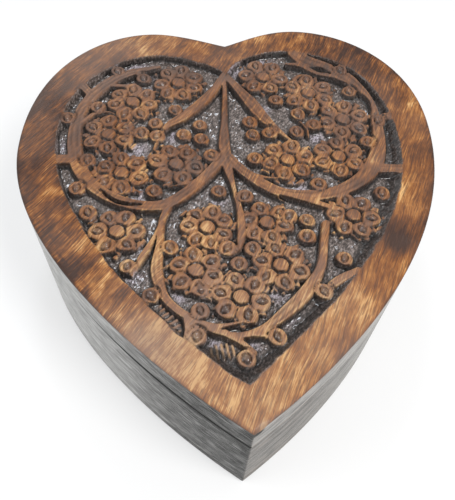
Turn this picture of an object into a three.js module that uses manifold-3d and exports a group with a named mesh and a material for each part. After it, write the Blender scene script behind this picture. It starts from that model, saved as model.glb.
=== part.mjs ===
// A heart-shaped wooden trinket box. A thick wall cut from one block stands on a thin base board,
// and a solid lid lifts off it. The lid's top is cut down inside a plain border, which leaves a
// flowering vine standing: stems, round-petalled flowers and berries.
// Millimetres, +Z up. The origin is on the table, midway along the box's width and length.
// The heart's point faces -Y and its cleft faces +Y.

import * as THREE from "three";
import { mergeVertices } from "three/addons/utils/BufferGeometryUtils.js";
import Module from "manifold-3d";

const wasm = await Module();
wasm.setup();

// Heights
const baseThickness = 4.5;
const boxHeight = 39;
const seatGap = 0.3;
const lidThickness = 11.5;
const lidBottom = boxHeight + seatGap;
const lidTop = lidBottom + lidThickness;

// Wall of the box, and the tongue under the lid that keeps it in place
const wallThickness = 8.5;
const tongueDepth = 2.5;
const tongueClearance = 0.7;

// Solids that are joined or cut reach this far past each other
const overlap = 1;

// Edges
const sandedEdge = 0.5;
const baseRound = 1.25;

// The outline was sawn by hand, so each half of the heart has its own curves. Each half runs
// from the cleft over the lobe to its widest place and down to the point.
const axisShift = 0.7; // puts the width's middle at x = 0
const outline = {
  cleftY: 64.25,
  tipY: -72.25,
  left: {
    lobe: [25.1, 71.1],
    wide: [65.7, 17.8],
    cleftPull: [4, 1.1],
    lobePull: [9.1, 19],
    widePull: [36, 38.1],
    tipPull: [19.6, 13.7],
  },
  right: {
    lobe: [24.2, 72.25],
    wide: [64.3, 26.8],
    cleftPull: [4, 1.4],
    lobePull: [10.1, 17.7],
    widePull: [30.2, 49.6],
    tipPull: [22.9, 15],
  },
};
const outlineSteps = 12; // points along one of a half's three curves
const curveShares = [0.6, 1, 1.3]; // the lobe's inner curve is short and takes fewer points, the flank more

// The carved field inside the border
const field = {
  cleftY: 49.3,
  tipY: -60.2,
  left: {
    lobe: [23.4, 60],
    wide: [54.8, 21.3],
    cleftPull: [2.2, 5.2],
    lobePull: [7.4, 11.9],
    widePull: [27.4, 34.9],
    tipPull: [10.2, 5],
  },
  right: {
    lobe: [18.1, 61.7],
    wide: [53.4, 19.3],
    cleftPull: [0.3, 7.1],
    lobePull: [6.6, 22.8],
    widePull: [28.9, 31.6],
    tipPull: [25, 21.5],
  },
};
const fieldSteps = 9;
const groundDepth = 2.75;
const fieldWallSlope = 0.6;
const rootDepth = 0.75; // how far the vine's solids reach below the ground

// The vine: flowers are [x, y, ring radius, petals, turn in degrees]
const flowers = [
  [-16.5, 46.7, 5.8, 7, 80],
  [-31.5, 38, 5.6, 7, 40],
  [-38.6, 23.8, 5.7, 6, 90],
  [-34, 8, 5.6, 6, 95],
  [-17.5, 11, 5.7, 6, 48],
  [12.4, 49.3, 5.7, 6, 110],
  [27.2, 41.3, 6, 6, 90],
  [37, 28.8, 5.9, 6, 75],
  [33.1, 13, 5.6, 6, 85],
  [17, 12, 5.7, 6, 15],
  [-34.4, -13.5, 5.3, 6, 120],
  [-8.8, -12.7, 5.2, 7, 125],
  [-12.4, -27, 5.1, 6, 96],
  [8.4, -11.6, 5.1, 6, 105],
  [11, -26, 5.4, 6, 100],
  [-0.6, -35.6, 5.4, 6, 103],
  [34, -9.8, 5.3, 6, 110],
];
const petalRadius = 2.55;
const petalSteps = 6;
const eyeRadius = 2.45;
const eyeSteps = 12;
const petalHeight = 1.85;
const eyeHeight = 2.3;
const petalLean = 0.3; // how far a petal's side leans in from the ground to its top
const eyeLean = 0.25;

// Single berries, and the sprigs of three between the upper stems
const berries = [
  [-28.2, 49.2], [-17.6, 34.3], [-42.7, 36], [-37, 53], [-52, 31.2], [-28.4, 24.2],
  [-24, 28.2], [-23.4, 22.8], [-44.4, 13.4], [-6.6, 14.3], [-24.2, 0.8], [-46.8, 2.4],
  [-9.8, 27.3], [-15, 23.2], [-9.5, 21.3], [6.3, 28.3], [6.9, 22.6], [12.3, 23.4],
  [21.2, 23.8], [27, 26.8], [22.4, 31.6], [41, 41.8], [43.4, 19], [39.6, 52.4],
  [48.6, 28.2], [6.8, 12.8], [25.4, 2.2], [15.8, 38.2], [-43, -6.6], [-31, -25],
  [-5, 0.3], [-3.4, -20], [-19.5, -19.2], [-0.5, -25.1], [-11.6, -39.2], [3.6, -20.4],
  [19.5, -16.6], [20.2, -11], [15.1, -9.4], [44, -1.8], [29, -24.4], [21.8, -34.6],
  [8, -47.4], [-0.4, -53], [-12.6, -46.4], [-24.5, -34.2], [2.8, -1.8],
];
const berryRadius = 2.35;
const berrySteps = 9;
const berryHeight = 1.95;
const berryLean = 0.3;

// Stems are curves through hand-set points: [x, y, width]
const stems = {
  centre: [[-0.9, 50, 1.6], [-1.2, 40, 1.9], [-1.9, 28, 2.4], [-2.4, 17, 4], [-1.8, 9, 3.2], [-0.4, 1, 1.7],
    [0.8, -7, 2.2], [0.9, -14, 2.6], [-0.2, -19.8, 2], [-2.6, -22.4, 1]],
  upperLeft: [[-1, 50, 2.6], [-5.4, 42, 2.6], [-10.4, 35.6, 3], [-16, 30, 3], [-21.4, 25.4, 1.8], [-24.4, 17, 0.9]],
  upperRight: [[-0.4, 50, 2.4], [4, 42.4, 2.8], [7.5, 36.4, 3.6], [10.4, 30.6, 3.4], [14.4, 25, 2.2], [19, 19.6, 1]],
  leftLoop: [[-2.6, 14, 3], [-7.4, 7.4, 3], [-14, 0.2, 3], [-21, -4.6, 3.2], [-28, -5, 3.4], [-35.4, -2.4, 4],
    [-42, 2.4, 4], [-47, 10.6, 3.6], [-49.6, 21, 3.4], [-48.6, 32, 3], [-44, 42, 3.6], [-36, 50, 3.4], [-23, 54.6, 1.4]],
  rightLoop: [[-1.8, 14, 3], [2.4, 8, 3], [8, 2.6, 3.2], [14, -1.2, 3.2], [22, -2.4, 3.6], [30, -1.2, 3.6],
    [37.6, 2.8, 4.4], [43.4, 9, 5], [46.8, 17, 4], [48, 27, 3], [46.8, 36, 2.8], [42.4, 44.6, 3.4], [35, 50, 3], [24, 53.6, 1.8]],
  lowerLeft: [[-19, -3.6, 2.4], [-21.6, -10, 2.2], [-22.2, -18, 2.4], [-23, -27, 3.6], [-20.8, -35, 2.8],
    [-15.4, -40.6, 2.6], [-8.4, -43.8, 1.9], [0.4, -42.8, 0.9]],
  lowerLeftLeaf: [[-21, -7.4, 0.9], [-24, -16, 1.4], [-27.2, -22.6, 2.2], [-30, -27.6, 1]],
  lowerRight: [[-14, -42, 3], [-8, -45.2, 2.2], [-2, -46.8, 2.2], [4.4, -45.2, 2.6], [11, -40.4, 3.8],
    [17, -34.6, 4], [22, -27, 2.8], [24, -19, 2.6], [25.4, -12.6, 2.6]],
  flowerStalk: [[11.6, -0.4, 1.6], [17, -3, 2.2], [23, -5, 2.4], [29, -7.4, 2]],
  pointCurl: [[-5.4, -46, 2.4], [-1.8, -48.4, 2], [1.6, -51.4, 1.8]],
  pointStalk: [[0, -46.6, 2], [4.4, -46.8, 1.9], [8, -48, 1.6]],
  // short ties that run from the vine into the border
  lowerLeftTie: [[-15, -40.6, 2.6], [-14.4, -45, 3], [-14.8, -51, 4]],
  leftTie: [[-48, 13.4, 4], [-56, 13.4, 4]],
  leftUpperTie: [[-48.6, 31.4, 3.2], [-57, 31.8, 3.4]],
  leftTopTie: [[-45, 41, 3], [-50, 48, 3.4]],
  rightTie: [[45, 7.6, 4], [54, 7, 3.4]],
  rightUpperTie: [[47.6, 29, 3.2], [55, 30, 3.6]],
  rightTopTie: [[39, 48, 3], [41.4, 57, 3.2]],
  topTie: [[24, 53, 6], [24.6, 63.5, 6]],
};
const stemHeight = 2.35;
const stemSide = 0.45; // how far a stem's side leans out from its top edge to its root
const slimmestTop = 0.4; // share of its width that a stem's narrowest place keeps on top
const stemStep = 3.6; // distance between the cross-sections of a stem

const point = (x, y) => new THREE.Vector2(x, y);
const ground = lidTop - groundDepth;

// Half of a heart, from the cleft to the point. side is 1 for the right half and -1 for the left.
function halfHeart(heart, half, side, steps) {
  const at = (x, y) => point(side * x, y);
  const [lobeX, lobeY] = half.lobe;
  const [wideX, wideY] = half.wide;
  const cleft = at(0, heart.cleftY);
  const lobe = at(lobeX, lobeY);
  const wide = at(wideX, wideY);
  const tip = at(0, heart.tipY);
  const curves = [
    new THREE.CubicBezierCurve(
      cleft,
      at(half.cleftPull[0], heart.cleftY + half.cleftPull[1]),
      at(lobeX - half.lobePull[0], lobeY),
      lobe,
    ),
    new THREE.CubicBezierCurve(lobe, at(lobeX + half.lobePull[1], lobeY), at(wideX, wideY + half.widePull[0]), wide),
    new THREE.CubicBezierCurve(
      wide,
      at(wideX, wideY - half.widePull[1]),
      at(half.tipPull[0], heart.tipY + half.tipPull[1]),
      tip,
    ),
  ];
  return curves.flatMap((curve, i) => {
    const places = curve.getSpacedPoints(Math.round(steps * curveShares[i]));
    return i === 0 ? places : places.slice(1);
  });
}

// The whole heart, counter-clockwise: up the right half from the point and down the left half.
function heartRing(heart, steps) {
  const right = halfHeart(heart, heart.right, 1, steps).reverse();
  const left = halfHeart(heart, heart.left, -1, steps).slice(1, -1);
  return [...right, ...left];
}

// Each point of a ring moved in along the bisector of its two edges. At a sharp corner the point moves
// no further than it would at a corner of this cosine.
const sharpestCorner = 0.4;
function insetRing(ring, inset) {
  const count = ring.length;
  return ring.map((place, i) => {
    const before = place.clone().sub(ring[(i + count - 1) % count]).normalize();
    const after = ring[(i + 1) % count].clone().sub(place).normalize();
    const normal = point(-before.y - after.y, before.x + after.x).normalize();
    const stretch = Math.max(sharpestCorner, normal.dot(point(-after.y, after.x)));
    return place.clone().addScaledVector(normal, inset / stretch);
  });
}

// A deep inset, half by half: what would cross the heart's axis is cut off there.
function deepInsetRing(heart, steps, inset) {
  const half = (shape, side) => {
    const places = halfHeart(heart, shape, side, steps);
    const moved = places.map((place, i) => {
      const from = places[Math.max(0, i - 1)];
      const to = places[Math.min(places.length - 1, i + 1)];
      const along = to.clone().sub(from).normalize();
      return place.clone().add(point(along.y, -along.x).multiplyScalar(side * inset));
    });
    const crossing = moved.findIndex((place, i) => i > steps && side * place.x <= 0);
    const last = moved[crossing - 1];
    const next = moved[crossing];
    const tip = last.clone().lerp(next, last.x / (last.x - next.x));
    return [...moved.slice(0, crossing), tip];
  };
  const right = half(heart.right, 1);
  const left = half(heart.left, -1);
  const cleft = point(0, heart.cleftY - inset);
  return [...right.reverse(), cleft, ...left.slice(0, -1)];
}

// A closed solid from rings with the same number of points, stacked from the lowest to the highest.
function stackedSolid(levels) {
  const count = levels[0].ring.length;
  const positions = levels.flatMap(({ z, ring }) => ring.flatMap((place) => [place.x, place.y, z]));
  const faces = [];
  for (let level = 0; level + 1 < levels.length; level++) {
    for (let i = 0; i < count; i++) {
      const a = level * count + i;
      const b = level * count + ((i + 1) % count);
      faces.push(a, b, b + count, a, b + count, a + count);
    }
  }
  const top = (levels.length - 1) * count;
  for (const [a, b, c] of THREE.ShapeUtils.triangulateShape(levels[0].ring, [])) faces.push(c, b, a);
  for (const [a, b, c] of THREE.ShapeUtils.triangulateShape(levels.at(-1).ring, [])) {
    faces.push(top + a, top + b, top + c);
  }
  return solidFrom(new Float32Array(positions), new Uint32Array(faces));
}

function solidFrom(vertProperties, triVerts) {
  return new wasm.Manifold(new wasm.Mesh({ numProp: 3, vertProperties, triVerts }));
}

// A straight-sided solid on a ring. Its corners closer together than this are one.
const sameCorner = 1e-3;
function prism(ring, low, high) {
  const shape = new THREE.Shape(ring);
  const extruded = new THREE.ExtrudeGeometry(shape, { depth: high - low, bevelEnabled: false });
  extruded.translate(0, 0, low);
  extruded.deleteAttribute("normal");
  extruded.deleteAttribute("uv");
  const merged = mergeVertices(extruded, sameCorner);
  return solidFrom(merged.attributes.position.array, new Uint32Array(merged.index.array));
}

// A raised form of the carving: its ring at the ground's level, drawn in a little at the top.
function boss(ring, height, lean) {
  return stackedSolid([
    { z: ground - rootDepth, ring: insetRing(ring, -lean * (rootDepth / groundDepth)) },
    { z: ground + height, ring: insetRing(ring, lean) },
  ]);
}

// The scalloped outline of a flower: the furthest reach of its petals' circles.
function petalRing([x, y, ringRadius, petals, turn]) {
  const count = petals * petalSteps;
  const notch = Math.sqrt(ringRadius ** 2 - petalRadius ** 2);
  return Array.from({ length: count }, (_, i) => {
    const fromPetal = ((i % petalSteps) / petalSteps - 0.5) * ((2 * Math.PI) / petals);
    const angle = THREE.MathUtils.degToRad(turn) + (Math.floor(i / petalSteps) * 2 * Math.PI) / petals + fromPetal;
    const across = ringRadius * Math.sin(fromPetal);
    const reach =
      Math.abs(across) < petalRadius
        ? ringRadius * Math.cos(fromPetal) + Math.sqrt(petalRadius ** 2 - across ** 2)
        : notch;
    return point(x + reach * Math.cos(angle), y + reach * Math.sin(angle));
  });
}

function roundRing(x, y, radius, steps) {
  return Array.from({ length: steps }, (_, i) => {
    const angle = (i * 2 * Math.PI) / steps;
    return point(x + radius * Math.cos(angle), y + radius * Math.sin(angle));
  });
}

// A stem: a ribbon of changing width along a smooth curve, with leaning sides and square ends.
function stem(places) {
  const path = new THREE.CatmullRomCurve3(
    places.map(([x, y, width]) => new THREE.Vector3(x, y, width)),
    false,
    "centripetal",
  );
  const steps = Math.max(2, Math.round(path.getLength() / stemStep));
  const along = path.getSpacedPoints(steps);
  const sides = along.map((place, i) => {
    const from = along[Math.max(0, i - 1)];
    const to = along[Math.min(steps, i + 1)];
    const across = point(from.y - to.y, to.x - from.x).normalize();
    return { middle: point(place.x, place.y), across, half: place.z / 2 };
  });
  const ribbon = (widen) => {
    const edge = (side) =>
      sides.map(({ middle, across, half }) => middle.clone().addScaledVector(across, side * (half + widen)));
    return [...edge(-1), ...edge(1).reverse()];
  };
  const low = ribbon(stemSide);
  const high = ribbon(-Math.min(stemSide, ...sides.map(({ half }) => half * (1 - slimmestTop))));
  const last = 2 * sides.length - 1;
  const positions = [];
  for (const place of low) positions.push(place.x, place.y, ground - rootDepth);
  for (const place of high) positions.push(place.x, place.y, ground + stemHeight);
  const count = last + 1;
  const faces = [];
  for (let i = 0; i < count; i++) {
    const next = (i + 1) % count;
    faces.push(i, next, next + count, i, next + count, i + count);
  }
  for (let i = 0; i + 1 < sides.length; i++) {
    const quad = [i, i + 1, last - i - 1, last - i];
    faces.push(quad[0], quad[2], quad[1], quad[0], quad[3], quad[2]);
    faces.push(...[quad[0], quad[1], quad[2], quad[0], quad[2], quad[3]].map((corner) => corner + count));
  }
  return solidFrom(new Float32Array(positions), new Uint32Array(faces));
}

function joined(solids) {
  return solids.reduce((whole, solid) => whole.add(solid));
}

// The vine, kept inside a prism a little larger than the carved field.
function vine() {
  const petals = flowers.map((flower) => boss(petalRing(flower), petalHeight, petalLean));
  const eyes = flowers.map(([x, y]) => boss(roundRing(x, y, eyeRadius, eyeSteps), eyeHeight, eyeLean));
  const rounds = berries.map(([x, y]) => boss(roundRing(x, y, berryRadius, berrySteps), berryHeight, berryLean));
  const ribbons = Object.values(stems).map(stem);
  const limits = prism(insetRing(heartRing(field, fieldSteps), -overlap), ground - 2 * rootDepth, lidTop);
  return joined([...ribbons, ...petals, ...eyes, ...rounds]).intersect(limits);
}

function carvedLid() {
  const ring = heartRing(outline, outlineSteps);
  const blank = stackedSolid([
    { z: lidBottom, ring: insetRing(ring, sandedEdge) },
    { z: lidBottom + sandedEdge, ring },
    { z: lidTop - sandedEdge, ring },
    { z: lidTop, ring: insetRing(ring, sandedEdge) },
  ]);
  const tongue = prism(
    deepInsetRing(outline, outlineSteps, wallThickness + tongueClearance),
    boxHeight - tongueDepth,
    lidBottom + overlap,
  );
  const fieldRing = heartRing(field, fieldSteps);
  const recess = stackedSolid([
    { z: ground, ring: insetRing(fieldRing, fieldWallSlope) },
    { z: lidTop + overlap, ring: insetRing(fieldRing, (-overlap * fieldWallSlope) / groundDepth) },
  ]);
  return blank.add(tongue).subtract(recess).add(vine());
}

function boxWall() {
  const ring = heartRing(outline, outlineSteps);
  const outside = stackedSolid([
    { z: baseThickness, ring },
    { z: boxHeight - sandedEdge, ring },
    { z: boxHeight, ring: insetRing(ring, sandedEdge) },
  ]);
  const inside = prism(deepInsetRing(outline, outlineSteps, wallThickness), baseThickness - overlap, boxHeight + overlap);
  return outside.subtract(inside);
}

function baseBoard() {
  const ring = heartRing(outline, outlineSteps);
  return stackedSolid([
    { z: 0, ring: insetRing(ring, baseRound) },
    { z: baseRound, ring },
    { z: baseThickness, ring },
  ]);
}

function piece(name, solid, material) {
  const made = solid.getMesh();
  const geometry = new THREE.BufferGeometry()
    .setAttribute("position", new THREE.BufferAttribute(made.vertProperties, 3))
    .setIndex(new THREE.BufferAttribute(made.triVerts, 1));
  geometry.computeVertexNormals();
  const mesh = new THREE.Mesh(geometry, material);
  mesh.name = name;
  mesh.position.x = axisShift;
  return mesh;
}

const stainedTop = new THREE.MeshStandardMaterial({ color: 0x7a4a24, roughness: 0.45, metalness: 0 });
const stainedSide = new THREE.MeshStandardMaterial({ color: 0x5b5148, roughness: 0.55, metalness: 0 });
const stainedBoard = new THREE.MeshStandardMaterial({ color: 0x544a41, roughness: 0.6, metalness: 0 });

const trinketBox = new THREE.Group();
trinketBox.add(piece("carved_lid", carvedLid(), stainedTop));
trinketBox.add(piece("box_wall", boxWall(), stainedSide));
trinketBox.add(piece("base_board", baseBoard(), stainedBoard));

export default trinketBox;
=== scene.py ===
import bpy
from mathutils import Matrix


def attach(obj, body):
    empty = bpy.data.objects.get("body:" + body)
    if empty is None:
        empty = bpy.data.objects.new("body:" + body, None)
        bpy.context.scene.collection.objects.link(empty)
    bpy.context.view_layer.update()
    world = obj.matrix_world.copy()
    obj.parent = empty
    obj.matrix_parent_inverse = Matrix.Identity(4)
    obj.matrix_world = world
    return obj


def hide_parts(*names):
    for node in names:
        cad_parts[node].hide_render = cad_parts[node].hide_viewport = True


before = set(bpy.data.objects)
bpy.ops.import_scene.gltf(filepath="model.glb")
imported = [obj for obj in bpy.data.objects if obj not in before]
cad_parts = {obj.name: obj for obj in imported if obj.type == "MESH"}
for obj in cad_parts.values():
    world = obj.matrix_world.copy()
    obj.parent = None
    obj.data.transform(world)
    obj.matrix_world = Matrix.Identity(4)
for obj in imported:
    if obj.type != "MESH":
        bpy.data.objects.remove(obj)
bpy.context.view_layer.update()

from math import cos, pi, radians, sin

import bmesh
import bpy
import numpy as np
from mathutils import Matrix, Vector

mm = 0.001

# Everything below is drawn in millimetres, in the part's own frame, and becomes metres in the meshes.
levels = {
    "seam": 4.5,  # top of the base board
    "boxTop": 39.0,
    "lidBottom": 39.3,
    "lidTop": 50.8,
    "shift": 0.7,  # the outlines are drawn from the heart's axis, which stands this far right of the middle
}

# Each half of a heart is three curves: cleft to lobe, lobe to widest place, widest place to point.
boxOutline = {
    "cleft": 64.25, "point": -72.25,
    "left": {"lobe": (25.1, 71.1), "wide": (65.7, 17.8), "cleftPull": (4, 1.1), "lobePull": (9.1, 19),
             "widePull": (36, 38.1), "tipPull": (19.6, 13.7)},
    "right": {"lobe": (24.2, 72.25), "wide": (64.3, 26.8), "cleftPull": (4, 1.4), "lobePull": (10.1, 17.7),
              "widePull": (30.2, 49.6), "tipPull": (22.9, 15)},
}
fieldOutline = {
    "cleft": 49.3, "point": -60.2,
    "left": {"lobe": (23.4, 60), "wide": (54.8, 21.3), "cleftPull": (2.2, 5.2), "lobePull": (7.4, 11.9),
             "widePull": (27.4, 34.9), "tipPull": (10.2, 5)},
    "right": {"lobe": (18.1, 61.7), "wide": (53.4, 19.3), "cleftPull": (0.3, 7.1), "lobePull": (6.6, 22.8),
              "widePull": (28.9, 31.6), "tipPull": (25, 21.5)},
}


def bezier(a, b, c, d, count=60):
    t = np.linspace(0, 1, count)[:, None]
    a, b, c, d = (np.array(p, float) for p in (a, b, c, d))
    return (1 - t) ** 3 * a + 3 * (1 - t) ** 2 * t * b + 3 * (1 - t) * t ** 2 * c + t ** 3 * d


def evenly(path, gap):
    # the same path with its points about gap apart
    run = np.r_[0, np.cumsum(np.hypot(*np.diff(path[:, :2], axis=0).T))]
    count = max(2, round(run[-1] / gap) + 1)
    return np.stack([np.interp(np.linspace(0, run[-1], count), run, column) for column in path.T], 1)


def heartHalf(shape, half, side, gap):
    # from the cleft over the lobe to the point
    part = shape[half]
    (lobeX, lobeY), (wideX, wideY) = part["lobe"], part["wide"]
    cleft, point = (0, shape["cleft"]), (0, shape["point"])
    curves = [
        bezier(cleft, (part["cleftPull"][0], cleft[1] + part["cleftPull"][1]),
               (lobeX - part["lobePull"][0], lobeY), (lobeX, lobeY)),
        bezier((lobeX, lobeY), (lobeX + part["lobePull"][1], lobeY),
               (wideX, wideY + part["widePull"][0]), (wideX, wideY)),
        bezier((wideX, wideY), (wideX, wideY - part["widePull"][1]),
               (part["tipPull"][0], point[1] + part["tipPull"][1]), point),
    ]
    places = np.vstack([evenly(curve, gap)[(0 if i == 0 else 1):] for i, curve in enumerate(curves)])
    places[:, 0] = side * places[:, 0] + levels["shift"]
    return places


def heartRing(shape, gap):
    # counter-clockwise from the point, whose corner is a little rounded: up the right half, down the left
    right = heartHalf(shape, "right", 1, gap)[::-1]
    left = heartHalf(shape, "left", -1, gap)
    corner = right[0]
    before, after = corner + 0.45 * (left[-2] - corner), corner + 0.45 * (right[1] - corner)
    turning = bezier(before, (before + 2 * corner) / 3, (after + 2 * corner) / 3, after, 5)
    return np.vstack([turning[2:], right[1:], left[1:-1], turning[:2]])


def innerRing(shape, gap, inset):
    # the ring drawn a whole wall further in, where the two halves are cut off at the heart's axis
    axis = levels["shift"]

    def half(name, side):
        places = heartHalf(shape, name, side, gap)
        along = np.gradient(places, axis=0)
        along /= np.hypot(*along.T)[:, None]
        moved = places + side * inset * np.stack([along[:, 1], -along[:, 0]], 1)
        late = np.arange(len(moved)) > len(moved) // 2
        last = np.argmax(late & (side * (moved[:, 0] - axis) <= 0))
        before, after = moved[last - 1], moved[last]
        share = (before[0] - axis) / (before[0] - after[0])
        return np.vstack([moved[:last], before + share * (after - before)])

    right, left = half("right", 1)[::-1], half("left", -1)[:-1]
    return np.vstack([right, [(axis, shape["cleft"] - inset)], left])


print("stage: camera and light")

# The camera stands where the photograph was taken from: about 57 degrees up, a little left of the point.
photoView = {
    "elevation": 57.238, "azimuth": -6.064, "roll": 3.603,
    "distance": 226.33, "aim": (0.66, 11.19, 0),
    "focalPixels": 600.08, "imageHeight": 500,
}


def setCamera(view):
    el, az, roll = (radians(view[key]) for key in ("elevation", "azimuth", "roll"))
    back = Vector((sin(az) * cos(el), -cos(az) * cos(el), sin(el)))
    right = Vector((cos(az), sin(az), 0))
    up = back.cross(right)
    right, up = right * cos(roll) + up * sin(roll), up * cos(roll) - right * sin(roll)
    data = bpy.data.cameras.new("photoCamera")
    data.lens = data.sensor_width * view["focalPixels"] / view["imageHeight"]
    camera = bpy.data.objects.new("photoCamera", data)
    bpy.context.collection.objects.link(camera)
    place = (Vector(view["aim"]) + back * view["distance"]) * mm
    camera.matrix_world = Matrix.Translation(place) @ Matrix((right, up, back)).transposed().to_4x4()
    data.clip_start = 0.01
    bpy.context.scene.camera = camera


setCamera(photoView)

# A bright room: a window to the right in front, a paler one to the left, and a small cold one behind,
# which glints in the wet-looking ground of the carving.
studio = {
    "skyStrength": 0.72,
    "skyColour": (0.98, 0.99, 1.0),
    # name, way to it from +X and above the floor in degrees, distance and size in mm, watts, colour
    "lamps": [
        ("windowRight", -44, 57, 560, 190, 2.1, (1.0, 0.995, 0.985)),
        ("windowLeft", 188, 30, 620, 420, 1.2, (0.96, 0.98, 1.0)),
        ("windowBack", 96, 58, 700, 120, 0.75, (0.86, 0.92, 1.0)),
    ],
    "aim": (0, 0, 30),
}


def setStudio(room):
    world = bpy.data.worlds.new("studio")
    bpy.context.scene.world = world
    world.use_nodes = True
    sky = world.node_tree.nodes["Background"]
    sky.inputs["Color"].default_value = (*room["skyColour"], 1)
    sky.inputs["Strength"].default_value = room["skyStrength"]
    for name, turn, rise, distance, size, watts, colour in room["lamps"]:
        turn, rise = radians(turn), radians(rise)
        away = Vector((cos(turn) * cos(rise), sin(turn) * cos(rise), sin(rise)))
        lamp = bpy.data.lights.new(name, "AREA")
        lamp.shape, lamp.size, lamp.energy, lamp.color = "DISK", size * mm, watts, colour
        holder = bpy.data.objects.new(name, lamp)
        bpy.context.collection.objects.link(holder)
        holder.location = (Vector(room["aim"]) + away * distance) * mm
        holder.rotation_euler = away.to_track_quat("Z", "Y").to_euler()
    bpy.context.scene.view_settings.view_transform = "Standard"


setStudio(studio)


class Wire:
    # a socket in a material's node tree, so that masks can be written as plain sums
    def __init__(self, tree, socket=None):
        self.tree, self.socket = tree, socket

    def node(self, kind, settings=None, inputs=None, output=0):
        made = self.tree.nodes.new(kind)
        for name, value in (settings or {}).items():
            setattr(made, name, value)
        for name, value in (inputs or {}).items():
            if isinstance(value, Wire):
                self.tree.links.new(value.socket, made.inputs[name])
            else:
                made.inputs[name].default_value = value
        return Wire(self.tree, made.outputs[output])

    def maths(self, operation, *values):
        return self.node("ShaderNodeMath", {"operation": operation}, dict(enumerate(values)))

    def __add__(self, other):
        return self.maths("ADD", self, other)

    def __radd__(self, other):
        return self.maths("ADD", other, self)

    def __sub__(self, other):
        return self.maths("SUBTRACT", self, other)

    def __rsub__(self, other):
        return self.maths("SUBTRACT", other, self)

    def __mul__(self, other):
        return self.maths("MULTIPLY", self, other)

    def __rmul__(self, other):
        return self.maths("MULTIPLY", other, self)

    def between(self, low, high):
        # 0 below low, 1 above high
        return self.node("ShaderNodeMapRange", {"interpolation_type": "SMOOTHSTEP"},
                         {"Value": self, "From Min": low, "From Max": high})

    def blend(self, first, second):
        # first where this mask is 0, second where it is 1
        return self.node("ShaderNodeMix", {"data_type": "RGBA"}, {0: self, 6: first, 7: second}, output=2)

    def ramp(self, stops):
        # colours by value; each stop is a place and a colour
        made = self.node("ShaderNodeValToRGB", {}, {"Fac": self})
        elements = made.socket.node.color_ramp.elements
        while len(elements) < len(stops):
            elements.new(0.5)
        for element, (place, colour) in zip(elements, stops):
            element.position, element.color = place, rgba(*colour)
        return made

    def stretched(self, size, turn=0.0):
        # coordinates turned about Z and divided by a size in metres along each axis
        return self.node("ShaderNodeMapping", {"vector_type": "TEXTURE"},
                         {"Vector": self, "Rotation": (0, 0, turn), "Scale": size})

    def noise(self, detail=3.0, roughness=0.55, output=0):
        return self.node("ShaderNodeTexNoise", {}, {"Vector": self, "Scale": 1.0, "Detail": detail,
                                                    "Roughness": roughness}, output)

    def pushed(self, size, amount):
        # these coordinates moved about by up to amount metres, in swells of this size
        shove = self.stretched((size, size, size)).noise(1.5, output=1)
        shove = self.node("ShaderNodeVectorMath", {"operation": "SUBTRACT"}, {0: shove, 1: (0.5, 0.5, 0.5)})
        shove = self.node("ShaderNodeVectorMath", {"operation": "SCALE"}, {0: shove, "Scale": amount})
        return self.node("ShaderNodeVectorMath", {"operation": "ADD"}, {0: self, 1: shove})

    def axis(self, name):
        return self.node("ShaderNodeSeparateXYZ", {}, {0: self}, "XYZ".index(name))

    def attribute(self, name):
        return self.node("ShaderNodeAttribute", {"attribute_name": name}, output=2)


def rgba(r, g, b):
    return (r, g, b, 1)


def newMaterial(name):
    material = bpy.data.materials.new(name)
    material.use_nodes = True
    tree = material.node_tree
    return material, Wire(tree), tree.nodes["Principled BSDF"]


def connect(wire, shader, name):
    wire.tree.links.new(wire.socket, shader.inputs[name])


topFinish = {
    "grainLeft": radians(53), "grainRight": radians(64),  # the way the grain runs, from +X
    "fibre": (0.009, 0.0005, 0.009),  # length and width of a streak
    "fineFibre": (0.0045, 0.00026, 0.0045),
    "dashes": (0.0045, 0.0005, 0.0045),
    "scores": (0.015, 0.00034, 0.015),
    "clouds": (0.006, 0.0028, 0.006),
    "woods": [(0.06, (0.033, 0.013, 0.007)), (0.3, (0.1, 0.035, 0.011)), (0.5, (0.195, 0.067, 0.016)),
              (0.7, (0.34, 0.14, 0.036)), (0.94, (0.62, 0.36, 0.145))],
    "dash": (0.055, 0.023, 0.014), "greyBrown": (0.22, 0.155, 0.125),
    "ground": [(0.34, (0.026, 0.019, 0.016)), (0.5, (0.115, 0.088, 0.076)), (0.7, (0.46, 0.385, 0.355))],
    "paintedShine": (0.6, 0.54, 0.62),
    "creviceDirtAndShade": [(0.4, (0.004, 0.003, 0.003)), (0.58, (0.014, 0.01, 0.009)), (0.75, (0.13, 0.1, 0.095))],
    "bead": (0.03, 0.018, 0.016),
    "roughness": 0.44,
}


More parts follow.
